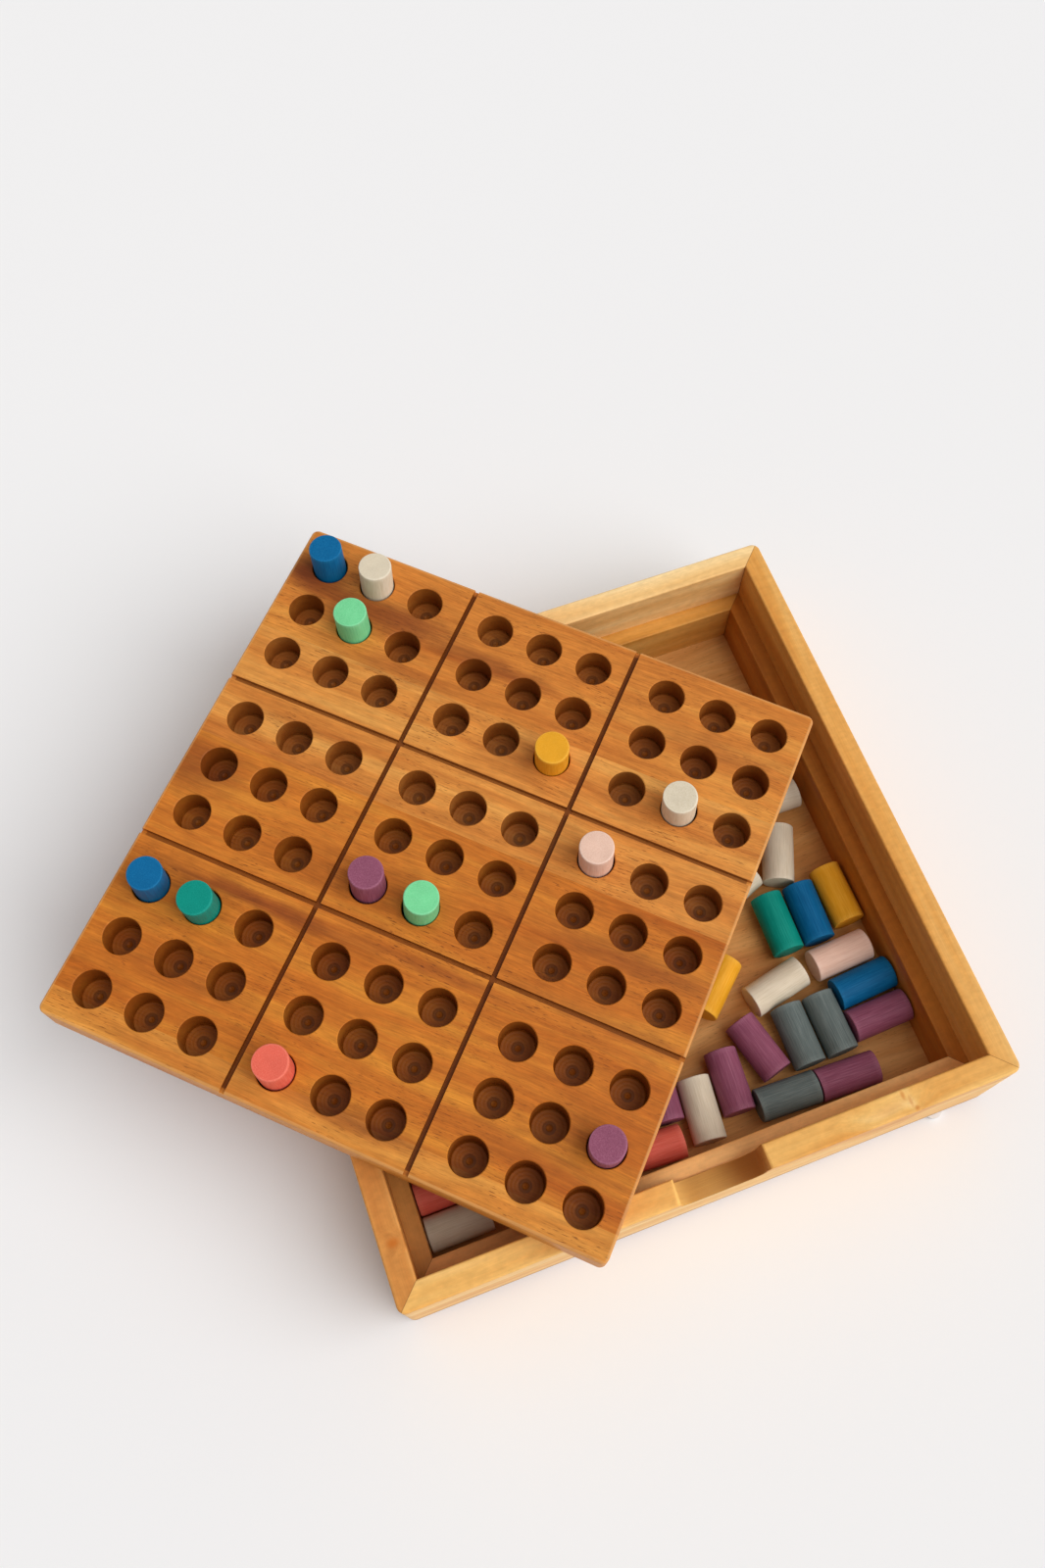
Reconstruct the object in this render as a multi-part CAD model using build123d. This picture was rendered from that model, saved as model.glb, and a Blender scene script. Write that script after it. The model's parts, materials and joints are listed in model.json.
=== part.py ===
from build123d import *
import math
import os

# Driving dimensions in millimetres. The origin is the centre of the tray's plywood underside,
# with X to the right along the front wall, Y to the back and Z up.
tray_width = 218.5
tray_height = 46.0
base_thickness = 4.0
base_arris = 0.5
wall_thickness = 8.5
wall_arris = 0.8
tray_corner_radius = 3.0
ledge_width = 6.0
ledge_depth = 20.5
ledge_arris = 0.6

# The finger notch is sawn down into the front wall and slopes into the tray.
notch_left = -14.0
notch_right_inside = 17.0
notch_right_outside = 16.0
notch_depth_inside = 19.5
notch_depth_outside = 10.0
notch_corner_inside = 9.5
notch_corner_outside = 4.8
notch_shoulder_inside = 1.2
notch_shoulder_outside = 3.0

# Clear bumper feet under the plywood. The front right one peeks out past the front wall.
foot_diameter = 6.4
foot_height = 2.0
foot_arris = 0.5
foot_places = [(89.7, -107.6), (-92.0, -92.0), (-92.0, 92.0), (92.0, 92.0)]

# The board lies on the tray's rim, turned, and is glued up from five staves.
board_size = 200.0
board_thickness = 16.0
board_centre = (-48.7, 22.6)
board_turn = -43.45
board_corner_radius = 2.5
board_arris = 0.8
stave_joints = [-90.4, -40.0, 9.2, 55.5]
block_pitch = 67.5
hole_pitch = 19.5
groove_place = 32.3
groove_width = 1.8
groove_depth = 2.0

# One blind hole, as a brad point bit leaves it.
hole_diameter = 13.0
hole_depth = 10.5
hole_mouth_chamfer = 0.3
spur_ring_width = 0.7
spur_ring_depth = 0.6
dimple_diameter = 2.4
dimple_depth = 0.9

# Every peg is the same length of dowel.
peg_diameter = 12.0
peg_length = 22.5
peg_chamfer = 0.5
peg_floor_gap = 0.05
loose_peg_gap = 0.2
peg_base_kick = 0.3

colours = ["blue", "cream", "light_green", "yellow", "pink", "plum", "teal", "coral", "grey"]

# Pegs in the board: colour, hole column, hole row, and how far the top stands off the hole's
# centre to the right and to the back, because a peg leans a little in its hole.
placed_pegs = [
    ("blue", 0, 0, -0.85, 0.75),
    ("cream", 1, 0, -0.2, 0.95),
    ("light_green", 1, 1, -0.3, -0.05),
    ("yellow", 5, 2, 0.3, -0.9),
    ("cream", 7, 2, -0.5, -0.45),
    ("pink", 6, 3, -0.35, 0.0),
    ("plum", 3, 5, 0.1, 0.65),
    ("light_green", 4, 5, 1.2, 0.0),
    ("blue", 0, 6, 0.6, 0.15),
    ("teal", 1, 6, 0.35, -0.85),
    ("coral", 3, 8, 0.0, 0.3),
    ("plum", 8, 7, 0.05, -0.8),
]

# Pegs lying in the tray clear of the board: colour, x, y and the turn of the axis in degrees.
loose_pegs = [
    ("teal", 62.6, -27.2, -91.0),
    ("blue", 75.3, -27.3, -92.0),
    ("yellow", 88.2, -24.6, -89.0),
    ("pink", 79.4, -46.0, 3.0),
    ("blue", 82.8, -58.5, 4.0),
    ("plum", 82.9, -71.3, 2.0),
    ("grey", 52.4, -67.8, -90.0),
    ("grey", 65.1, -67.8, -89.0),
    ("plum", 62.8, -87.1, -2.0),
    ("grey", 39.9, -86.1, -2.0),
    ("plum", 37.2, -66.6, -75.0),
    ("plum", 22.7, -74.3, -94.0),
    ("cream", 9.4, -79.9, -96.0),
    ("cream", 52.4, -48.7, 12.0),
]

# Pegs that show only in part at the board's edge, in the same form.
covered_pegs = [
    ("cream", 74.2, -2.4, -113.0),
    ("yellow", 31.3, -40.6, 42.0),
    ("cream", 80.0, 19.0, 0.0),
    ("cream", 51.3, -9.6, 22.0),
    ("plum", -2.0, -68.7, -96.0),
    ("coral", -12.0, -86.5, -3.0),
    ("cream", -83.2, -86.1, 0.0),
    ("coral", -83.2, -73.6, 0.0),
]

# Pegs wholly under the board lie in rough rows, as they settle when the tray is shaken level.
hidden_counts = [5, 1, 7, 6, 7, 2, 7, 6, 6]
hidden_row_counts = [3, 3, 4, 4, 5, 5, 6, 6, 6, 5]
hidden_corner = (-78.0, -48.8)
hidden_pitch = (26.0, 14.8)
hidden_first_row = 2
hidden_colour_stride = 18

# Values worked out from the driving dimensions.
opening_width = tray_width - 2 * wall_thickness
well_width = opening_width - 2 * ledge_width
ledge_top = tray_height - ledge_depth
hole_bottom = board_thickness - hole_depth


def tray_ring():
    """The four walls in one piece, with rounded outer corners and eased top edges."""
    plan = RectangleRounded(tray_width, tray_width, tray_corner_radius)
    plan -= Rectangle(opening_width, opening_width)
    ring = extrude(Pos(0, 0, base_thickness) * plan, tray_height - base_thickness)
    return fillet(ring.edges().group_by(Axis.Z)[-1], wall_arris)


def ledge_ring():
    """The four ledge strips in one piece, with the inner top edge eased."""
    plan = Rectangle(opening_width, opening_width) - Rectangle(well_width, well_width)
    ring = extrude(Pos(0, 0, base_thickness) * plan, ledge_top - base_thickness)
    top_edges = ring.edges().group_by(Axis.Z)[-1]
    inner_edges = [edge for edge in top_edges if edge.length < well_width + 1]
    return fillet(inner_edges, ledge_arris)


def mitred_quarter(ring, turn):
    """The part of a ring on one side of the tray, cut at 45 degrees at both ends."""
    reach = tray_width
    wedge = Polygon((0, 0), (-reach, -reach), (reach, -reach), align=None)
    wedge = Rot(0, 0, turn) * extrude(wedge, tray_height + 1)
    return (ring & wedge).solids()[0]


def notch_profile(y, right, depth, corner, shoulder):
    """The notch's outline in the upright plane at y: round corners below and round shoulders
    at the rim. The shoulders end just above the rim, so that they cut it cleanly."""
    above = 0.1
    head = 3.0
    half = (right - notch_left) / 2
    reach = half + 2 * shoulder
    wide = Pos(0, (above + head) / 2) * Rectangle(2 * reach, head - above)
    throat = Pos(0, (head - depth) / 2) * Rectangle(2 * half, head + depth)
    outline = wide + throat
    points = outline.vertices()
    outline = fillet([point for point in points if point.Y < 0], corner)
    points = outline.vertices()
    lips = [point for point in points if 0 < point.Y < head / 2 and abs(point.X) < half + 0.1]
    outline = fillet(lips, shoulder)
    centre = Pos((right + notch_left) / 2, tray_height)
    return Plane.XZ.offset(-y) * centre * outline


def finger_notch():
    """The solid that the notch takes out, straight from the outer outline to the inner one."""
    run_out = 1.0
    share = run_out / wall_thickness
    depth_step = (notch_depth_inside - notch_depth_outside) * share
    right_step = (notch_right_inside - notch_right_outside) * share
    outer = notch_profile(-tray_width / 2 - run_out, notch_right_outside - right_step,
                          notch_depth_outside - depth_step, notch_corner_outside, notch_shoulder_outside)
    inner = notch_profile(-opening_width / 2 + run_out, notch_right_inside + right_step,
                          notch_depth_inside + depth_step, notch_corner_inside, notch_shoulder_inside)
    return loft([outer, inner], ruled=True)


def tray_base():
    """The plywood bottom, flush with the outer faces of the walls."""
    sheet = extrude(RectangleRounded(tray_width, tray_width, tray_corner_radius), base_thickness)
    return fillet(sheet.edges().group_by(Axis.Z)[0], base_arris)


def bumper_feet():
    """Four clear discs stuck under the plywood."""
    disc = Cylinder(foot_diameter / 2, foot_height, align=(Align.CENTER, Align.CENTER, Align.MAX))
    disc = fillet(disc.edges().group_by(Axis.Z)[0], foot_arris)
    return Compound([Pos(x, y, 0) * disc for x, y in foot_places])


def hole_centre(step):
    """The place of a hole along one side, from the board's centre: three blocks of three."""
    block, within = divmod(step, 3)
    return (block - 1) * block_pitch + (within - 1) * hole_pitch


def hole_cutter():
    """One hole turned about its axis: chamfered mouth, flat bottom, spur ring and dimple."""
    radius = hole_diameter / 2
    outline = Polyline(
        (0, board_thickness + 1),
        (radius + hole_mouth_chamfer, board_thickness + 1),
        (radius + hole_mouth_chamfer, board_thickness),
        (radius, board_thickness - hole_mouth_chamfer),
        (radius, hole_bottom - spur_ring_depth),
        (radius - spur_ring_width, hole_bottom),
        (dimple_diameter / 2, hole_bottom),
        (0, hole_bottom - dimple_depth),
        close=True,
    )
    return revolve(Plane.XZ * make_face(outline), Axis.Z)


def whole_board():
    """The board in its own frame, underside at z = 0, with its grooves and all its holes."""
    board = extrude(RectangleRounded(board_size, board_size, board_corner_radius), board_thickness)
    rims = board.edges().group_by(Axis.Z)
    board = fillet(rims[0] + rims[-1], board_arris)
    groove_z = board_thickness - groove_depth / 2
    for side in (-1, 1):
        board -= Pos(side * groove_place, 0, groove_z) * Box(groove_width, board_size + 2, groove_depth)
        board -= Pos(0, side * groove_place, groove_z) * Box(board_size + 2, groove_width, groove_depth)
    cutter = hole_cutter()
    steps = range(9)
    board -= [Pos(hole_centre(i), hole_centre(j), 0) * cutter for i in steps for j in steps]
    return board


def board_staves():
    """The board cut along its glue joints, laid on the rim and turned."""
    board = whole_board()
    edge = board_size / 2 + 1
    limits = [-edge] + stave_joints + [edge]
    place = Pos(board_centre[0], board_centre[1], tray_height) * Rot(0, 0, board_turn)
    staves = []
    for low, high in zip(limits, limits[1:]):
        slab = Pos(0, (low + high) / 2, board_thickness / 2)
        slab *= Box(2 * edge, high - low, board_thickness + 2)
        staves.append((place * (board & slab)).solids()[0])
    return staves


def peg():
    """One peg upright on z = 0, with a small chamfer round both ends."""
    dowel = Cylinder(peg_diameter / 2, peg_length, align=(Align.CENTER, Align.CENTER, Align.MIN))
    ends = dowel.edges().filter_by(GeomType.CIRCLE)
    return chamfer(ends, peg_chamfer).solid()


def lying_peg(x, y, turn, gap):
    """A peg on its side on the tray's floor."""
    centred = Rot(0, 90, 0) * Pos(0, 0, -peg_length / 2) * peg()
    return Pos(x, y, base_thickness + peg_diameter / 2 + gap) * Rot(0, 0, turn) * centred


def placed_peg(column, row, right, back):
    """A peg in its hole: the top leans off centre and the base kicks a little the other way."""
    top_shift = Vector(right, back, 0)
    base_shift = top_shift * -peg_base_kick
    lean = Vector(0, 0, peg_length) + top_shift - base_shift
    lift = peg_diameter / 2 * math.sin(math.radians(lean.get_angle(Vector(0, 0, 1))))
    foot = Vector(hole_centre(column), -hole_centre(row), hole_bottom + lift + peg_floor_gap)
    seat = Plane(origin=foot + base_shift, z_dir=lean)
    board_place = Pos(board_centre[0], board_centre[1], tray_height) * Rot(0, 0, board_turn)
    return board_place * seat.location * peg()


def hidden_peg_places():
    """Rough rows under the board: each peg has its own small turn and shift."""
    places = []
    for row, count in enumerate(hidden_row_counts, start=hidden_first_row):
        for column in range(count):
            step = 8 * row + column
            turn = 4.5 * math.sin(2.4 * step + 0.7)
            x = hidden_corner[0] + column * hidden_pitch[0]
            x += 0.8 * math.sin(1.7 * step) + 4.0 * math.sin(1.3 * row)
            y = hidden_corner[1] + (row - hidden_first_row) * hidden_pitch[1]
            y += 0.5 * math.cos(2.1 * step)
            places.append((x, y, turn))
    return places


def stored_pegs():
    """Pegs that stay in the tray under the board, as one list of solids for each colour."""
    groups = {colour: [] for colour in colours}
    for colour, x, y, turn in covered_pegs:
        groups[colour].append(lying_peg(x, y, turn, peg_floor_gap))
    mixed = [name for name, count in zip(colours, hidden_counts) for _ in range(count)]
    for step, (x, y, turn) in enumerate(hidden_peg_places()):
        colour = mixed[step * hidden_colour_stride % len(mixed)]
        groups[colour].append(lying_peg(x, y, turn, peg_floor_gap))
    return groups


def numbered(kind, pegs):
    """Names such as loose_blue_1 and loose_blue_2, counted within each colour."""
    names = []
    for index, entry in enumerate(pegs):
        count = sum(1 for other in pegs[: index + 1] if other[0] == entry[0])
        names.append(f"{kind}_{entry[0]}_peg_{count}")
    return names


def all_nodes():
    """Every named node of the assembly with its solid or group of solids."""
    nodes = {"tray_base": tray_base(), "bumper_feet": bumper_feet()}
    walls = tray_ring() - finger_notch()
    ledges = ledge_ring()
    for side, turn in (("front", 0), ("right", 90), ("back", 180), ("left", 270)):
        nodes[f"tray_{side}_wall"] = mitred_quarter(walls, turn)
        nodes[f"{side}_ledge_strip"] = mitred_quarter(ledges, turn)
    for number, stave in enumerate(board_staves(), start=1):
        nodes[f"board_stave_{number}"] = stave
    for name, entry in zip(numbered("placed", placed_pegs), placed_pegs):
        nodes[name] = placed_peg(*entry[1:])
    for name, entry in zip(numbered("loose", loose_pegs), loose_pegs):
        nodes[name] = lying_peg(*entry[1:], loose_peg_gap)
    for colour, group in stored_pegs().items():
        nodes[f"stored_{colour}_pegs"] = Compound(group)
    return nodes


os.makedirs("parts", exist_ok=True)
for node, solid in all_nodes().items():
    export_step(solid, f"parts/{node}.step")
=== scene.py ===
import json
import math

import bpy
import numpy as np
from mathutils import Matrix, Vector


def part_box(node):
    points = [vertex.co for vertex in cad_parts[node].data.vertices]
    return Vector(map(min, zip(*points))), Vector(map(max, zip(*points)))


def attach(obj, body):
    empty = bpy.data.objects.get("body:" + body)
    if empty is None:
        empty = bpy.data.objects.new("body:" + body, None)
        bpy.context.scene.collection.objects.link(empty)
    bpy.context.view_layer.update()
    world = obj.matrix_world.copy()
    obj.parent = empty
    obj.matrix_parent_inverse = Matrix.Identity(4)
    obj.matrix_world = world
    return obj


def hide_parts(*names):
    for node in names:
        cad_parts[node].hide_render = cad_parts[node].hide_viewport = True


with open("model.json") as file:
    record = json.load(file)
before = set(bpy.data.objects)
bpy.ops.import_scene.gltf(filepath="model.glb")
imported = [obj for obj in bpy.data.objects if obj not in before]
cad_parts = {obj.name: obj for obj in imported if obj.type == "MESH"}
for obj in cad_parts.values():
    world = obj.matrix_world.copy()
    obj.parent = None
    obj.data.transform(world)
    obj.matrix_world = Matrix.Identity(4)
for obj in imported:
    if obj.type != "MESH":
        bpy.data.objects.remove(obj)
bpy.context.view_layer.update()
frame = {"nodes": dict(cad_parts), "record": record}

MM = 0.001

# Sizes of the tray and the board in millimetres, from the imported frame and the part's own values.
TRAY_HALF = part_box("tray_base")[1].x / MM
RIM_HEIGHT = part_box("tray_back_wall")[1].z / MM
WALL_THICKNESS = 8.5
CORE_PLY = (1.35, 2.65)
BOARD_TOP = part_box("board_stave_1")[1].z / MM
BOARD_CENTRE = (-48.7, 22.6)
BOARD_TURN = -43.45
BOARD_HALF = 100.0
BLOCK_PITCH = 67.5
HOLE_PITCH = 19.5
HOLE_DEPTH = 10.5
HOLE_FLOOR = BOARD_TOP - HOLE_DEPTH
GROOVE_PLACE = 32.3

# The sawn faces of the finger notch in the front wall, along X and in height.
NOTCH_SPAN = (-15.3, 19.2)
NOTCH_HEIGHTS = (20.0, 45.6)

# The dowel that every peg is cut from: its size, the rounding that sanding leaves at its ends,
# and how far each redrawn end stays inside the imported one.
PEG_RADIUS = 6.0
PEG_LENGTH = 22.5
PEG_ARRIS = 0.38
PEG_SHY = 0.03
PEG_SIDES = 72

# The photograph: its size, focal length and optical centre in pixels, and where it was taken
# from, with the view's own right, up and backward directions.
PHOTO_WIDTH = 1066
PHOTO_HEIGHT = 1600
FOCAL_PIXELS = 1466.8
OPTICAL_CENTRE = (555.7, 731.1)
VIEWPOINT = (-0.08011, -0.13995, 0.52835)
VIEW_RIGHT = (0.93666, -0.34994, 0.01453)
VIEW_UP = (0.31175, 0.85190, 0.42080)
VIEW_BACK = (-0.15963, -0.38961, 0.90704)

# The board's staves: where each begins and ends across the grain, and its lightest, middle and
# darkest wood.
STAVES = [
    (-101.0, -90.4, "#E49E47", "#D08333", "#B66321"),
    (-90.4, -40.0, "#DB8D2F", "#C57022", "#AC5513"),
    (-40.0, 9.2, "#DC8F33", "#C87325", "#AD5715"),
    (9.2, 55.5, "#E8A754", "#D5883B", "#B66423"),
    (55.5, 101.0, "#E79E46", "#D18033", "#B15E1E"),
]

# Red heartwood streaks in the board: place along and across the grain, half length, half width
# and how strongly they colour the wood.
HEARTWOOD = [
    (-60.0, 77.0, 46.0, 10.0, 0.8),
    (-92.0, 82.0, 22.0, 10.0, 0.95),
    (-14.0, 73.0, 34.0, 6.0, 0.6),
    (-45.0, 57.5, 44.0, 5.0, 0.4),
    (70.0, 74.0, 44.0, 7.0, 0.35),
    (-70.0, 24.0, 30.0, 4.0, 0.25),
    (-94.0, -3.0, 26.0, 15.0, 0.65),
    (-50.0, -39.5, 56.0, 4.5, 0.7),
    (14.0, -37.5, 40.0, 3.5, 0.45),
    (74.0, -9.0, 50.0, 7.0, 0.5),
    (10.0, -91.0, 36.0, 6.0, 0.55),
    (72.0, -31.0, 54.0, 5.0, 0.35),
    (72.0, -78.0, 54.0, 7.0, 0.2),
    (-60.0, -72.0, 40.0, 6.0, 0.3),
]

# Which way the grain of each side of the tray runs, and the lightest, middle and darkest wood
# of its wall and of the ledge strip glued inside it.
GRAIN_TURN = {"front": 0.0, "back": 0.0, "left": 90.0, "right": 90.0}
WALL_WOOD = {
    "front": ("#F8CF8C", "#F1BC6A", "#DF9A46"),
    "back": ("#FDDCA2", "#F7CB88", "#E5AC62"),
    "right": ("#EEB86A", "#E3A250", "#CE8334"),
    "left": ("#E2A45A", "#D48E45", "#BC7230"),
}
LEDGE_WOOD = {
    "front": ("#FAC07A", "#F0AC64", "#D68E48"),
    "back": ("#E2A95B", "#D49543", "#B87429"),
    "right": ("#D08C3C", "#BF7326", "#A05614"),
    "left": ("#D9A05A", "#C98842", "#AC6A28"),
}

# Knots and resin marks in the rim: centre, half sizes and strength. The front wall's first three
# make one curved orange line across the rim, and its last one is the warmer wood beside it.
KNOTS = {
    "front": [
        ((67.6, -102.8, 44.0), (1.1, 2.6, 20.0), 0.55),
        ((69.3, -105.6, 44.0), (0.9, 3.0, 20.0), 0.42),
        ((70.4, -108.2, 44.0), (1.3, 1.4, 20.0), 0.6),
        ((61.5, -105.8, 44.0), (8.0, 3.6, 20.0), 0.16),
    ],
    "left": [((-104.5, -88.0, 45.5), (3.0, 2.2, 5.0), 0.8)],
}

# Paint colours: as it looks, paler at the arrises, deeper in the grain.
PAINTS = {
    "blue": ("#076498", "#2179AB", "#055382"),
    "cream": ("#DDCFB6", "#EADFCA", "#CCBC9E"),
    "light_green": ("#78D596", "#93E0AC", "#66C688"),
    "yellow": ("#E9A325", "#F2B746", "#D89218"),
    "pink": ("#E9C2AD", "#F3D5C4", "#DBAE98"),
    "plum": ("#8F5067", "#A76B81", "#7A4156"),
    "teal": ("#058B7B", "#239E8D", "#037768"),
    "coral": ("#E96956", "#F38670", "#D65644"),
    "grey": ("#66716F", "#828D8A", "#535E5B"),
}

# Settings that a colour mix takes, as it is and multiplied. Its inputs are 0 for the share and 6
# and 7 for the two colours.
COLOUR = {"out": 2, "data_type": "RGBA"}
SHADE = {"out": 2, "data_type": "RGBA", "blend_type": "MULTIPLY"}


def linear(code):
    """An sRGB hex colour as the linear colour that a shader takes."""
    values = [int(code[i:i + 2], 16) / 255 for i in (1, 3, 5)]
    return tuple(v / 12.92 if v <= 0.04045 else ((v + 0.055) / 1.055) ** 2.4 for v in values) + (1.0,)


def add(tree, kind, inputs=(), out=0, stops=(), **settings):
    """Adds one shader node with its settings and links, and gives back one of its outputs.
    Inputs are values or sockets, in the node's order or by name; stops fill a colour ramp."""
    made = tree.nodes.new("ShaderNode" + kind)
    for name, value in settings.items():
        setattr(made, name, value)
    for key, value in inputs.items() if isinstance(inputs, dict) else enumerate(inputs):
        if isinstance(value, bpy.types.NodeSocket):
            tree.links.new(value, made.inputs[key])
        else:
            made.inputs[key].default_value = value
    for index, (place, colour) in enumerate(stops):
        if index >= len(made.color_ramp.elements):
            made.color_ramp.elements.new(place)
        element = made.color_ramp.elements[index]
        element.position = place
        element.color = linear(colour) if isinstance(colour, str) else (colour,) * 3 + (1.0,)
    return made.outputs[out] if made.outputs else made


def finish_material(name, roughness, ior):
    """A new material of one Principled surface: the material, its node tree and the surface. The
    low specular level is the weak gloss of a thin satin coat."""
    material = bpy.data.materials.new(name)
    material.use_nodes = True
    tree = material.node_tree
    tree.nodes.clear()
    shine = add(tree, "BsdfPrincipled", {"Roughness": roughness, "IOR": ior, "Specular IOR Level": 0.2})
    add(tree, "OutputMaterial", {"Surface": shine})
    return material, tree, shine.node


def place_mm(tree, centre=(0.0, 0.0), turn=0.0):
    """Object coordinates in millimetres about a centre, with the first axis turned to the grain."""
    angle = math.radians(-turn)
    x = centre[0] * math.cos(angle) - centre[1] * math.sin(angle)
    y = centre[0] * math.sin(angle) + centre[1] * math.cos(angle)
    turned = {
        "Vector": add(tree, "TexCoord", out="Object"),
        "Location": (-x, -y, 0),
        "Rotation": (0, 0, angle),
        "Scale": (1000, 1000, 1000),
    }
    return add(tree, "Mapping", turned)


def streaks(tree, place, sizes, detail, roughness=0.6):
    """Cloudy noise from 0 to 1, its features drawn out to these millimetres along each axis."""
    steps = add(tree, "VectorMath", [place, [1 / size for size in sizes]], operation="MULTIPLY")
    cloud = {"Vector": steps, "Scale": 1.0, "Detail": detail, "Roughness": roughness}
    return add(tree, "TexNoise", cloud)


def wander(tree, place, step, reach):
    """Bends the grain sideways by a slow noise, so that no line runs dead straight."""
    slow = streaks(tree, place, (step * 1.6, step, step), 1.5)
    side = add(tree, "Math", [slow, 2 * reach, -reach], operation="MULTIPLY_ADD")
    shift = add(tree, "CombineXYZ", [0.0, side, 0.0])
    return add(tree, "VectorMath", [place, shift], operation="ADD")


def window(tree, value, low, high, soft):
    """1 where a value lies between low and high, falling to 0 over a soft width."""
    rise = add(tree, "MapRange", [value, low - soft, low, 0.0, 1.0])
    fall = add(tree, "MapRange", [value, high, high + soft, 1.0, 0.0])
    return add(tree, "Math", [rise, fall], operation="MULTIPLY")


def spot(tree, place, centre, sizes):
    """A soft oval: 1 at its centre, 0 from the given half sizes outwards."""
    off = add(tree, "VectorMath", [place, centre], operation="SUBTRACT")
    steps = add(tree, "VectorMath", [off, [1 / size for size in sizes]], operation="MULTIPLY")
    far = add(tree, "VectorMath", [steps], out="Value", operation="LENGTH")
    return add(tree, "MapRange", [far, 0.15, 1.0, 1.0, 0.0], interpolation_type="SMOOTHSTEP")


def heartwood(tree, flat, wood, low, high):
    """Colours a stave where a red streak crosses it, each streak a ragged oval along the grain that
    goes through the board's whole thickness."""
    ragged = wander(tree, flat, 9.0, 2.2)
    for along, across, length, width, depth in HEARTWOOD:
        if low - width < across < high + width:
            streak = spot(tree, ragged, (along, across, 58.0), (length, width, 60.0))
            streak = add(tree, "Math", [streak, depth], operation="MULTIPLY")
            wood = add(tree, "Mix", {0: streak, 6: wood, 7: linear("#7E3814")}, **COLOUR)
    return wood


def stave_grain(tree, flat, number, low, high, light, mid, dark):
    """A stave's own wood: clouds along the grain, red heartwood, growth lines, fibres, mottling
    and pores. Real fibres and pores are too fine to show, so they are drawn coarser, a third to
    half a millimetre wide. Gives back the colour, the fibres and the pores."""
    own = add(tree, "VectorMath", [flat, (137.0 * number, 61.0 * number, 29.0 * number)], operation="ADD")
    bent = wander(tree, own, 55.0, 4.0)
    bands = streaks(tree, bent, (110.0, 9.0, 12.0), 4.0)
    wood = add(tree, "ValToRGB", [bands], stops=[(0.24, light), (0.50, mid), (0.76, dark)])
    wood = heartwood(tree, flat, wood, low, high)
    lines = streaks(tree, bent, (46.0, 1.5, 1.8), 2.0)
    tone = add(tree, "ValToRGB", [lines], stops=[(0.30, 1.06), (0.60, 0.95), (0.75, 1.0)])
    wood = add(tree, "Mix", {0: 1.0, 6: wood, 7: tone}, **SHADE)
    fibres = streaks(tree, bent, (11.0, 0.55, 0.55), 3.0, 0.7)
    tone = add(tree, "ValToRGB", [fibres], stops=[(0.30, 0.81), (0.70, 1.16)])
    wood = add(tree, "Mix", {0: 1.0, 6: wood, 7: tone}, **SHADE)
    mottle = streaks(tree, own, (6.0, 3.0, 3.0), 3.0)
    tone = add(tree, "ValToRGB", [mottle], stops=[(0.30, 0.90), (0.70, 1.10)])
    wood = add(tree, "Mix", {0: 1.0, 6: wood, 7: tone}, **SHADE)
    pores = streaks(tree, bent, (3.4, 0.34, 0.34), 1.0)
    deep = add(tree, "MapRange", [pores, 0.63, 0.70, 0.0, 0.75])
    patches = streaks(tree, own, (24.0, 13.0, 13.0), 1.0)
    here = add(tree, "MapRange", [patches, 0.42, 0.62, 0.1, 1.0])
    pore = add(tree, "Math", [deep, here], operation="MULTIPLY")
    wood = add(tree, "Mix", {0: pore, 6: wood, 7: linear("#6A3212")}, **COLOUR)
    return wood, fibres, pore


def pale_arris_wear_and_highlight(tree, wood, reach, height):
    """Pales the board's upper arris: partly varnish worn thin there, partly a painted highlight where the
    edge catches the light.
    """
    at_side = window(tree, reach, BOARD_HALF - 0.75, BOARD_HALF + 0.5, 0.35)
    at_top = window(tree, height, BOARD_TOP - 0.75, BOARD_TOP, 0.2)
    wear_and_highlight = add(tree, "Math", [at_side, at_top], operation="MULTIPLY")
    wear_and_highlight = add(tree, "Math", [wear_and_highlight, 0.45], operation="MULTIPLY")
    return add(tree, "Mix", {0: wear_and_highlight, 6: wood, 7: linear("#DFA868")}, **COLOUR)


def hole_radius(tree, along, across):
    """The distance from the nearest hole's axis: the board folded onto one block, then one hole."""
    fold = [add(tree, "Math", [way, BLOCK_PITCH / 2], operation="PINGPONG") for way in (along, across)]
    fold = [add(tree, "Math", [way, HOLE_PITCH / 2], operation="PINGPONG") for way in fold]
    from_axis = add(tree, "CombineXYZ", [fold[0], fold[1], 0.0])
    return add(tree, "VectorMath", [from_axis], out="Value", operation="LENGTH")


def tool_marks(tree, radius, height, on_floor, in_cut_recess):
    """The rings that a drill turns on a hole's floor, 1.3 mm apart, and on its wall, 1.1 mm."""
    rings = add(tree, "Math", [radius, 2 * math.pi / 1.3], operation="MULTIPLY")
    rings = add(tree, "Math", [rings], operation="SINE")
    rings = add(tree, "Math", [rings, on_floor], operation="MULTIPLY")
    threads = add(tree, "Math", [height, 2 * math.pi / 1.1], operation="MULTIPLY")
    threads = add(tree, "Math", [threads], operation="SINE")
    threads = add(tree, "Math", [threads, in_cut_recess], operation="MULTIPLY")
    return add(tree, "Math", [rings, threads], operation="ADD")


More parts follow.
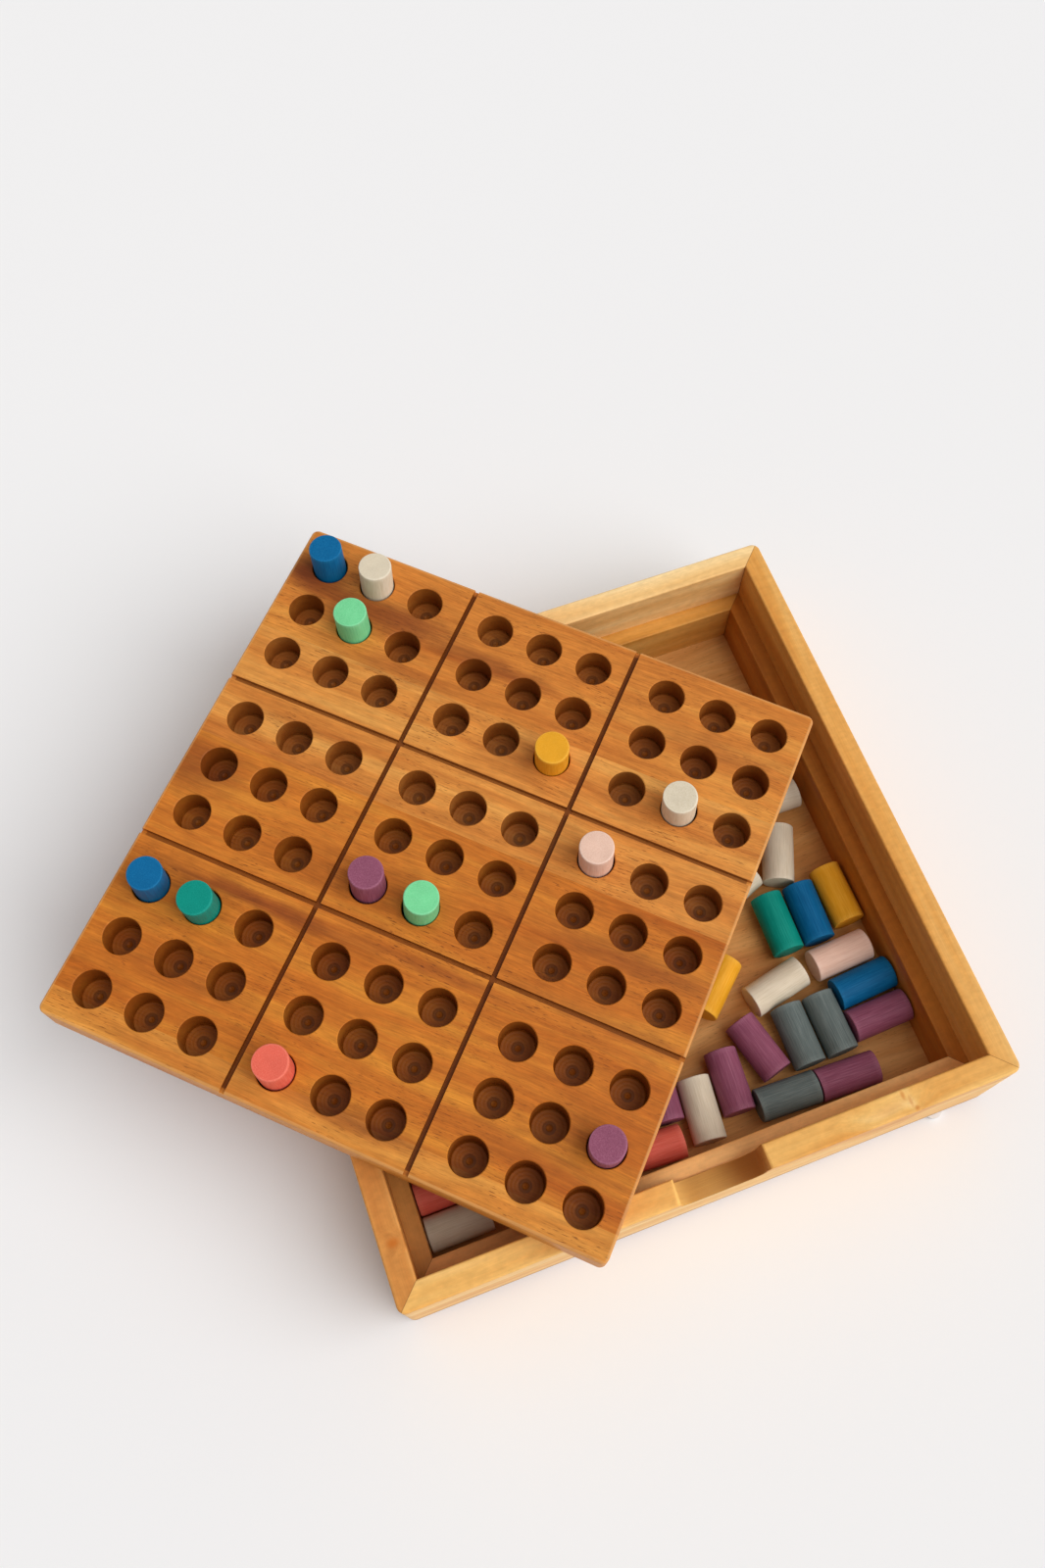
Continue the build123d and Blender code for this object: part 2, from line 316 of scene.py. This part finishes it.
def board_material(number, low, high, light, mid, dark):
    """Edge-glued alder under a warm satin varnish: honey to red-brown clouds drawn out along the grain, fine
    fibres and short dark pores. Inside the holes and grooves the wood is darker, partly as cut end grain and
    partly as painted shade, and a painted shadow lies round the drill point's pit on each hole's floor. The
    upper arris is paler, partly as worn varnish and partly as a painted highlight."""
    material, tree, shine = finish_material(f"varnished_alder_stave_{number}", 0.5, 1.5)
    flat = place_mm(tree, BOARD_CENTRE, BOARD_TURN)
    wood, fibres, pore = stave_grain(tree, flat, number, low, high, light, mid, dark)
    along, across, height = [add(tree, "SeparateXYZ", [flat], out=axis) for axis in range(3)]
    ways = [add(tree, "Math", [way], operation="ABSOLUTE") for way in (along, across)]
    reach = add(tree, "Math", ways, operation="MAXIMUM")
    # Paler upper arris: worn varnish and a painted highlight.
    wood = pale_arris_wear_and_highlight(tree, wood, reach, height)
    # Inside the holes and grooves a dark brown is mixed in: partly the darker cut end grain, partly painted
    # shade in these recesses. The saw cuts across the grain, all end grain, get more of it.
    below = window(tree, height, RIM_HEIGHT + 1.0, BOARD_TOP - 0.45, 0.25)
    within = window(tree, reach, -1.0, BOARD_HALF - 2.0, 0.5)
    in_cut_recess = add(tree, "Math", [below, within], operation="MULTIPLY")
    saw_cut = window(tree, ways[0], GROOVE_PLACE - 1.3, GROOVE_PLACE + 1.3, 0.1)
    darker = add(tree, "Math", [saw_cut, 0.25, 0.62], operation="MULTIPLY_ADD")
    darker = add(tree, "Math", [in_cut_recess, darker], operation="MULTIPLY")
    wood = add(tree, "Mix", {0: darker, 6: wood, 7: linear("#763808")}, **COLOUR)
    radius = hole_radius(tree, along, across)
    on_floor = window(tree, height, HOLE_FLOOR - 2.5, HOLE_FLOOR + 0.25, 0.1)
    # A painted shadow: a near-black ring round the drill point's pit in the middle of each hole's floor.
    dimple = window(tree, radius, 1.1, 2.1, 0.35)
    dimple = add(tree, "Math", [dimple, on_floor], operation="MULTIPLY")
    dimple = add(tree, "Math", [dimple, 0.45], operation="MULTIPLY")
    wood = add(tree, "Mix", {0: dimple, 6: wood, 7: linear("#2E1205")}, **COLOUR)
    tree.links.new(wood, shine.inputs["Base Color"])
    marks = tool_marks(tree, radius, height, on_floor, in_cut_recess)
    relief = add(tree, "Math", [marks, 0.5, fibres], operation="MULTIPLY_ADD")
    relief = add(tree, "Math", [relief, pore], operation="SUBTRACT")
    bump = add(tree, "Bump", {"Strength": 0.35, "Distance": 0.12 * MM, "Height": relief})
    tree.links.new(bump, shine.inputs["Normal"])
    gloss = add(tree, "MapRange", [fibres, 0.0, 1.0, 0.42, 0.58])
    tree.links.new(gloss, shine.inputs["Roughness"])
    return material


def knots_in(tree, plain, bent, knots):
    """Bends the grain round each knot and gives back the grain and how much is knot wood."""
    knot_wood = 0.0
    for centre, sizes, depth in knots:
        near = spot(tree, plain, centre, [size * 2.6 for size in sizes])
        push = add(tree, "Math", [near, 1.2 * min(sizes)], operation="MULTIPLY")
        swell = add(tree, "CombineXYZ", [0.0, push, push])
        bent = add(tree, "VectorMath", [bent, swell], operation="ADD")
        core = add(tree, "Math", [spot(tree, plain, centre, sizes), depth], operation="MULTIPLY")
        knot_wood = add(tree, "Math", [core, knot_wood], operation="MAXIMUM")
    return bent, knot_wood


def glued_mitres(tree, wood, x, y):
    """A thin dark glue line in each corner, where both distances from the centre are equal."""
    sides = [add(tree, "Math", [way], operation="ABSOLUTE") for way in (x, y)]
    gap = add(tree, "Math", sides, operation="SUBTRACT")
    gap = add(tree, "Math", [gap], operation="ABSOLUTE")
    seam = add(tree, "Math", [window(tree, gap, -1.0, 0.08, 0.15), 0.6], operation="MULTIPLY")
    return add(tree, "Mix", {0: seam, 6: wood, 7: linear("#6B3812")}, **COLOUR)


def sawn_notch(tree, plain, wood, fibres, x, y, z):
    """Fresh sawn wood in the finger notch, with saw lines along the wall 0.9 mm wide, darkened towards its
    right end by a painted shadow of the notch's right shoulder. Gives back the colour and the relief."""
    long = window(tree, x, *NOTCH_SPAN, 0.4)
    high = window(tree, z, *NOTCH_HEIGHTS, 0.3)
    thick = window(tree, y, -TRAY_HALF + 0.2, -TRAY_HALF + WALL_THICKNESS - 0.2, 0.1)
    cut = add(tree, "Math", [long, high], operation="MULTIPLY")
    cut = add(tree, "Math", [cut, thick], operation="MULTIPLY")
    saw = streaks(tree, plain, (22.0, 0.9, 3.0), 2.0)
    fresh = add(tree, "MapRange", [saw, 0.36, 0.60, 1.0, 0.8])
    fresh = add(tree, "Math", [fresh, cut], operation="MULTIPLY")
    wood = add(tree, "Mix", {0: fresh, 6: wood, 7: linear("#FFC670")}, **COLOUR)
    # Painted shadow: the notch's right shoulder shades the sawn wood towards its right end.
    shoulder_shadow = add(tree, "MapRange", [x, -3.0, 12.0, 0.0, 0.8], interpolation_type="SMOOTHSTEP")
    shoulder_shadow = add(tree, "Math", [shoulder_shadow, cut], operation="MULTIPLY")
    wood = add(tree, "Mix", {0: shoulder_shadow, 6: wood, 7: linear("#A2581A")}, **COLOUR)
    lines = add(tree, "Math", [cut, saw], operation="MULTIPLY")
    relief = add(tree, "Math", [lines, 5.0, fibres], operation="MULTIPLY_ADD")
    return wood, relief


def pine_material(name, turn, shift, light, mid, dark, knots=(), notch=False):
    """Pine under clear satin varnish: straight growth lines along the grain, honey to orange,
    faintly mottled, with the knots that show and a thin dark glue line in each mitre. Its fibres
    are drawn 0.6 mm wide, because real ones are too fine to show."""
    material, tree, shine = finish_material(name, 0.45, 1.5)
    plain = place_mm(tree)
    flat = place_mm(tree, turn=turn)
    own = add(tree, "VectorMath", [flat, shift], operation="ADD")
    bent, knot_wood = knots_in(tree, plain, wander(tree, own, 45.0, 2.0), knots)
    bands = streaks(tree, bent, (150.0, 11.0, 13.0), 2.0)
    wood = add(tree, "ValToRGB", [bands], stops=[(0.32, light), (0.52, mid), (0.72, dark)])
    lines = streaks(tree, bent, (150.0, 2.4, 3.0), 2.0)
    late = add(tree, "ValToRGB", [lines], stops=[(0.48, 0.0), (0.60, 0.16), (0.68, 0.04)])
    wood = add(tree, "Mix", {0: late, 6: wood, 7: linear(dark)}, **COLOUR)
    fibres = streaks(tree, bent, (15.0, 0.6, 0.6), 3.0, 0.7)
    tone = add(tree, "ValToRGB", [fibres], stops=[(0.25, 0.92), (0.75, 1.06)])
    wood = add(tree, "Mix", {0: 1.0, 6: wood, 7: tone}, **SHADE)
    mottle = streaks(tree, plain, (3.6, 2.2, 2.2), 3.0)
    tone = add(tree, "ValToRGB", [mottle], stops=[(0.30, 0.91), (0.70, 1.07)])
    wood = add(tree, "Mix", {0: 1.0, 6: wood, 7: tone}, **SHADE)
    wood = add(tree, "Mix", {0: knot_wood, 6: wood, 7: linear("#C46A1A")}, **COLOUR)
    x, y, z = [add(tree, "SeparateXYZ", [plain], out=axis) for axis in range(3)]
    wood = glued_mitres(tree, wood, x, y)
    relief = fibres
    if notch:
        wood, relief = sawn_notch(tree, plain, wood, fibres, x, y, z)
    tree.links.new(wood, shine.inputs["Base Color"])
    bump = add(tree, "Bump", {"Strength": 0.3, "Distance": 0.12 * MM, "Height": relief})
    tree.links.new(bump, shine.inputs["Normal"])
    gloss = add(tree, "MapRange", [fibres, 0.0, 1.0, 0.38, 0.52])
    tree.links.new(gloss, shine.inputs["Roughness"])
    return material


def plywood_material():
    """Birch plywood under varnish: a close, faintly curly grain above, and on the edge the
    darker middle ply between two pale ones. Real fibres are too fine to show, so they are drawn
    0.6 mm wide, and the flecks 0.5 mm."""
    material, tree, shine = finish_material("varnished_birch_plywood", 0.5, 1.5)
    plain = place_mm(tree)
    bent = wander(tree, plain, 30.0, 3.0)
    bands = streaks(tree, bent, (90.0, 9.0, 40.0), 3.0)
    wood = add(tree, "ValToRGB", [bands], stops=[(0.30, "#E0A561"), (0.52, "#CF8F4C"), (0.75, "#B97539")])
    fibres = streaks(tree, bent, (9.0, 0.6, 9.0), 3.0, 0.7)
    tone = add(tree, "ValToRGB", [fibres], stops=[(0.25, 0.86), (0.75, 1.12)])
    wood = add(tree, "Mix", {0: 1.0, 6: wood, 7: tone}, **SHADE)
    flecks = streaks(tree, plain, (3.0, 0.5, 3.0), 1.0)
    fleck = add(tree, "MapRange", [flecks, 0.66, 0.72, 0.0, 0.35])
    wood = add(tree, "Mix", {0: fleck, 6: wood, 7: linear("#7C4520")}, **COLOUR)
    x, y, z = [add(tree, "SeparateXYZ", [plain], out=axis) for axis in range(3)]
    sides = [add(tree, "Math", [way], operation="ABSOLUTE") for way in (x, y)]
    reach = add(tree, "Math", sides, operation="MAXIMUM")
    edge = window(tree, reach, TRAY_HALF - 0.2, TRAY_HALF + 5, 0.1)
    core_ply = add(tree, "Math", [window(tree, z, *CORE_PLY, 0.1), 0.45], operation="MULTIPLY")
    core_ply = add(tree, "Math", [edge, core_ply], operation="MULTIPLY")
    wood = add(tree, "Mix", {0: core_ply, 6: wood, 7: linear("#8A5222")}, **COLOUR)
    tree.links.new(wood, shine.inputs["Base Color"])
    bump = add(tree, "Bump", {"Strength": 0.25, "Distance": 0.1 * MM, "Height": fibres})
    tree.links.new(bump, shine.inputs["Normal"])
    return material


def paint_material(colour, code, pale, deep):
    """Thin satin paint on a beech dowel: the colour lies a little darker in the grain, lets the
    arrises show paler where it was wiped thin, and keeps a soft sheen. Real grain is too fine to
    show, so it is drawn 0.36 mm wide."""
    material, tree, shine = finish_material(f"satin_{colour}_paint", 0.5, 1.35)
    dowel = add(tree, "Attribute", out="Vector", attribute_name="dowel")
    streak = streaks(tree, dowel, (0.36, 0.36, 9.0), 3.0, 0.65)
    paint = add(tree, "ValToRGB", [streak], stops=[(0.20, deep), (0.50, code), (0.84, pale)])
    cloud = streaks(tree, dowel, (7.0, 7.0, 12.0), 2.0)
    tone = add(tree, "ValToRGB", [cloud], stops=[(0.3, 0.94), (0.7, 1.05)])
    paint = add(tree, "Mix", {0: 1.0, 6: paint, 7: tone}, **SHADE)
    arris = add(tree, "Attribute", out="Fac", attribute_name="arris")
    speck = streaks(tree, dowel, (0.4, 0.4, 0.4), 1.0)
    thin = add(tree, "MapRange", [speck, 0.35, 0.65, 0.1, 0.7])
    thin = add(tree, "Math", [thin, arris], operation="MULTIPLY")
    paint = add(tree, "Mix", {0: thin, 6: paint, 7: linear(pale)}, **COLOUR)
    tree.links.new(paint, shine.inputs["Base Color"])
    relief = add(tree, "Math", [speck, 0.3, streak], operation="MULTIPLY_ADD")
    bump = add(tree, "Bump", {"Strength": 0.35, "Distance": 0.1 * MM, "Height": relief})
    tree.links.new(bump, shine.inputs["Normal"])
    gloss = add(tree, "MapRange", [streak, 0.0, 1.0, 0.42, 0.6])
    tree.links.new(gloss, shine.inputs["Roughness"])
    return material


def bumper_material():
    """Clear soft polyurethane, moulded: nearly colourless, a little milky, glossy."""
    material, tree, shine = finish_material("clear_polyurethane", 0.15, 1.45)
    milk = streaks(tree, place_mm(tree), (2.0, 2.0, 2.0), 1.0)
    tint = add(tree, "ValToRGB", [milk], stops=[(0.3, "#FBFBFA"), (0.7, "#F4F4F2")])
    tree.links.new(tint, shine.inputs["Base Color"])
    shine.inputs["Transmission Weight"].default_value = 0.15
    return material


def assign(node, material):
    """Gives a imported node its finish, in every material slot it has."""
    slots = frame["nodes"][node].data.materials
    if not slots:
        slots.append(material)
    for index in range(len(slots)):
        slots[index] = material


def dress_tray():
    """Walls, ledges, bottom and feet keep their modelled shape and get their finish. Each length
    of pine starts elsewhere in its log, so no two share their grain."""
    for step, side in enumerate(GRAIN_TURN):
        log = (310.0 * step, 47.0 * step, 11.0 * step)
        strip_log = tuple(value + 55.0 for value in log)
        wall = pine_material(f"varnished_pine_{side}_wall", GRAIN_TURN[side], log, *WALL_WOOD[side],
                             knots=KNOTS.get(side, ()), notch=side == "front")
        strip = pine_material(f"varnished_pine_{side}_ledge", GRAIN_TURN[side], strip_log, *LEDGE_WOOD[side])
        assign(f"tray_{side}_wall", wall)
        assign(f"{side}_ledge_strip", strip)
    assign("tray_base", plywood_material())
    assign("bumper_feet", bumper_material())


def dress_board():
    """Each stave is its own strip of wood, so its grain starts elsewhere and its tone differs."""
    for number, stave in enumerate(STAVES, start=1):
        assign(f"board_stave_{number}", board_material(number, *stave))


def solids_of(node):
    """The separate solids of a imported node: vertex places grouped by the faces that join them.
    Each place starts with its own label, and the lowest label spreads over each triangle until
    nothing changes."""
    data = frame["nodes"][node].data
    places = np.zeros(len(data.vertices) * 3, np.float32)
    data.vertices.foreach_get("co", places)
    places = places.reshape(-1, 3) * 1000
    corners = np.zeros(len(data.loops), np.int64)
    data.loops.foreach_get("vertex_index", corners)
    _, merged = np.unique(np.round(places, 3), axis=0, return_inverse=True)
    merged = merged.reshape(-1)
    joined = merged[corners.reshape(-1, 3)]
    label = np.arange(merged.max() + 1)
    before = None
    while before is None or not np.array_equal(before, label):
        before = label.copy()
        lowest = label[joined].min(axis=1)
        for column in range(3):
            np.minimum.at(label, joined[:, column], lowest)
    return [places[label[merged] == value] for value in np.unique(label)]


def peg_axis(points):
    """Centre and axis of one dowel: its corners spread most along its length. The axis points up,
    or to the right on a peg that lies down."""
    unique = np.unique(np.round(points, 2), axis=0)
    centre = unique.mean(0)
    _, _, ways = np.linalg.svd(unique - centre, full_matrices=False)
    axis = ways[0]
    if axis[2] < -0.5 or (abs(axis[2]) <= 0.5 and axis[0] + 0.37 * axis[1] < 0):
        axis = -axis
    return centre, axis


def dowel_rings(angle, phase, half):
    """The dowel's rings from its lower end to its upper one, each a radius and a height for every
    angle and whether it is on an arris. At each end the radius r(b) = R - s (1 - sin b) and the
    height h - s (1 - cos b) follow a quarter round of size s, which itself varies by sines."""
    rings = []
    for end in (-1, 1):
        uneven = 0.30 * np.sin(angle + phase[0] * end) + 0.15 * np.sin(3 * angle + phase[1] * end)
        size = PEG_ARRIS * (1 + uneven)
        from_end = []
        # Across the flat end, round the arris, then down the side to near the middle.
        for share in (0.45, 0.8, 0.95):
            from_end.append(((PEG_RADIUS - size) * share, np.full_like(angle, half), 0.0))
        for bend in np.linspace(0, np.pi / 2, 6):
            radius = PEG_RADIUS - size * (1 - np.sin(bend))
            from_end.append((radius, half - size * (1 - np.cos(bend)), 1.0))
        for share in (0.80, 0.5, 0.2):
            from_end.append((np.full_like(angle, PEG_RADIUS), np.full_like(angle, half * share), 0.0))
        if end == -1:
            rings += [(radius, -height, worn) for radius, height, worn in from_end]
        else:
            rings += reversed(from_end)
    return rings


def axis_frame(axis, turn):
    """Three unit directions with the axis last, the other two turned about it by an angle."""
    side = np.cross(axis, [0.31, 0.17, 0.93] if abs(axis[2]) < 0.8 else [1.0, 0.2, 0.0])
    side /= np.linalg.norm(side)
    other = np.cross(axis, side)
    first = side * np.cos(turn) + other * np.sin(turn)
    return np.stack([first, np.cross(axis, first), axis])


def ring_faces(ring_count):
    """Quads between neighbouring rings and triangles from the end rings to the two pole points,
    which come after the rings' own points."""
    start = np.arange(PEG_SIDES)
    after = (start + 1) % PEG_SIDES
    base = np.arange(ring_count - 1)[:, None] * PEG_SIDES
    lower = base + start
    nearby = base + after
    quads = np.stack([lower, nearby, nearby + PEG_SIDES, lower + PEG_SIDES], axis=-1).reshape(-1, 4)
    pole = ring_count * PEG_SIDES
    last = pole - PEG_SIDES
    bottom = np.stack([np.full(PEG_SIDES, pole), after, start], axis=-1)
    top = np.stack([np.full(PEG_SIDES, pole + 1), last + start, last + after], axis=-1)
    return quads, np.vstack([bottom, top])


def dowel_surface(centre, axis, luck):
    """A dowel cut from rod. The radius against length is flat ends, a quarter-round arris at each
    end and straight sides, turned about the axis: (r cos a, r sin a, z). The arris size, the
    end's tilt and the roundness vary slowly round the turn by sines of the angle a."""
    angle = np.linspace(0, 2 * np.pi, PEG_SIDES, endpoint=False)[None, :]
    phase = luck.uniform(0, 2 * np.pi, 6)
    half = PEG_LENGTH / 2 - PEG_SHY
    rings = dowel_rings(angle, phase, half)
    radius = np.concatenate([ring[0] * np.ones_like(angle) for ring in rings])
    along = np.concatenate([ring[1] for ring in rings])
    worn = np.concatenate([np.full(PEG_SIDES, ring[2]) for ring in rings] + [[0.0, 0.0]])
    oval = 0.0022 * (1 + np.sin(2 * angle + phase[2]))
    lobes = 0.0012 * (1 + np.sin(5 * angle + phase[3]))
    radius = radius * (1 - oval - lobes)
    tilt = 0.010 * np.sin(angle + phase[4]) * radius * (np.abs(along) > half * 0.9)
    along = along - np.abs(tilt) * np.sign(along) * 0.5
    local = np.stack([radius * np.cos(angle), radius * np.sin(angle), along], axis=-1).reshape(-1, 3)
    local = np.vstack([local, [[0, 0, -half], [0, 0, half]]])
    world = centre + local @ axis_frame(axis, luck.uniform(0, 2 * np.pi))
    grain = local + luck.uniform(-400, 400, 3)
    return world, grain, worn, *ring_faces(len(rings))


def dowel_piece(node, colour, body, luck):
    """Every peg of one node as one piece, each peg a closed turned surface."""
    vertices, grain, worn, faces = [], [], [], []
    count = 0
    for points in solids_of(node):
        centre, axis = peg_axis(points)
        world, own_grain, own_worn, quads, ends = dowel_surface(centre, axis, luck)
        vertices.append(world)
        grain.append(own_grain)
        worn.append(own_worn)
        faces += (quads + count).tolist() + (ends + count).tolist()
        count += len(world)
    mesh = bpy.data.meshes.new(f"dowel_{node}")
    mesh.from_pydata((np.vstack(vertices) * MM).tolist(), [], faces)
    grain_values = mesh.attributes.new("dowel", "FLOAT_VECTOR", "POINT")
    grain_values.data.foreach_set("vector", np.vstack(grain).astype(np.float32).ravel())
    arris_values = mesh.attributes.new("arris", "FLOAT", "POINT")
    arris_values.data.foreach_set("value", np.concatenate(worn).astype(np.float32))
    mesh.polygons.foreach_set("use_smooth", [True] * len(mesh.polygons))
    mesh.materials.append(paints[colour])
    mesh.update()
    piece = bpy.data.objects.new(f"dowel_{node}", mesh)
    bpy.context.scene.collection.objects.link(piece)
    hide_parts(node)
    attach(piece, body)


def dress_pegs():
    """All the pegs, each node's colour read from its name."""
    luck = np.random.default_rng(12)
    for body, members in frame["record"]["behaviour"]["bodies"].items():
        for node in members:
            for colour in PAINTS:
                if f"_{colour}_peg" in node:
                    dowel_piece(node, colour, body, luck)


def camera():
    """The photograph's view, worked out from the straight edges of the tray and board."""
    data = bpy.data.cameras.new("photo_view")
    data.sensor_fit = "VERTICAL"
    data.sensor_height = 36.0
    data.lens = FOCAL_PIXELS / PHOTO_HEIGHT * data.sensor_height
    data.shift_x = (PHOTO_WIDTH / 2 - OPTICAL_CENTRE[0]) / PHOTO_HEIGHT
    data.shift_y = (OPTICAL_CENTRE[1] - PHOTO_HEIGHT / 2) / PHOTO_HEIGHT
    data.clip_start = 0.01
    data.clip_end = 20.0
    ways = [Vector(way) for way in (VIEW_RIGHT, VIEW_UP, VIEW_BACK)]
    made = bpy.data.objects.new("photo_view", data)
    made.matrix_world = Matrix.Translation(VIEWPOINT) @ Matrix(ways).transposed().to_4x4()
    bpy.context.scene.collection.objects.link(made)
    bpy.context.scene.camera = made


def lamp(name, azimuth, elevation, spread, strength):
    """A broad, even light from an azimuth (from +X towards +Y), spread over an angle of sky."""
    data = bpy.data.lights.new(name, "SUN")
    data.angle = math.radians(spread)
    data.energy = strength
    made = bpy.data.objects.new(name, data)
    turn = math.radians(azimuth)
    rise = math.radians(elevation)
    way = Vector((math.cos(rise) * math.cos(turn), math.cos(rise) * math.sin(turn), math.sin(rise)))
    made.rotation_euler = way.to_track_quat("Z", "Y").to_euler()
    bpy.context.scene.collection.objects.link(made)


def paper():
    """The plain pale sheet that the tray's feet stand on, far wider than the view."""
    material, _, shine = finish_material("pale_paper", 0.9, 1.3)
    shine.inputs["Base Color"].default_value = linear("#F1F0F0")
    shine.inputs["Specular IOR Level"].default_value = 0.1
    reach = 4.0
    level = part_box("bumper_feet")[0].z
    corners = [(x * reach, y * reach, level) for x, y in ((-1, -1), (1, -1), (1, 1), (-1, 1))]
    mesh = bpy.data.meshes.new("paper")
    mesh.from_pydata(corners, [], [(0, 1, 2, 3)])
    mesh.materials.append(material)
    sheet = bpy.data.objects.new("paper", mesh)
    bpy.context.scene.collection.objects.link(sheet)


def room():
    """Even light from all round, and a pale wall where the view looks past the paper."""
    world = bpy.data.worlds.new("room")
    bpy.context.scene.world = world
    world.use_nodes = True
    tree = world.node_tree
    tree.nodes.clear()
    seen = add(tree, "LightPath", out="Is Camera Ray")
    glow = add(tree, "Background", [linear("#F6F6F6"), 0.40])
    wall = add(tree, "Background", [linear("#F3F3F3"), 1.0])
    both = add(tree, "MixShader", [seen, glow, wall])
    add(tree, "OutputWorld", {"Surface": both})


def studio():
    """The paper in a soft room, with one large window to the front right."""
    paper()
    room()
    lamp("window_light", azimuth=-42.0, elevation=48.0, spread=60.0, strength=2.45)
    lamp("ceiling_light", azimuth=90.0, elevation=76.0, spread=60.0, strength=0.16)


paints = {colour: paint_material(colour, *codes) for colour, codes in PAINTS.items()}
dress_tray()
dress_board()
dress_pegs()
camera()
studio()
bpy.context.scene.view_settings.view_transform = "Standard"
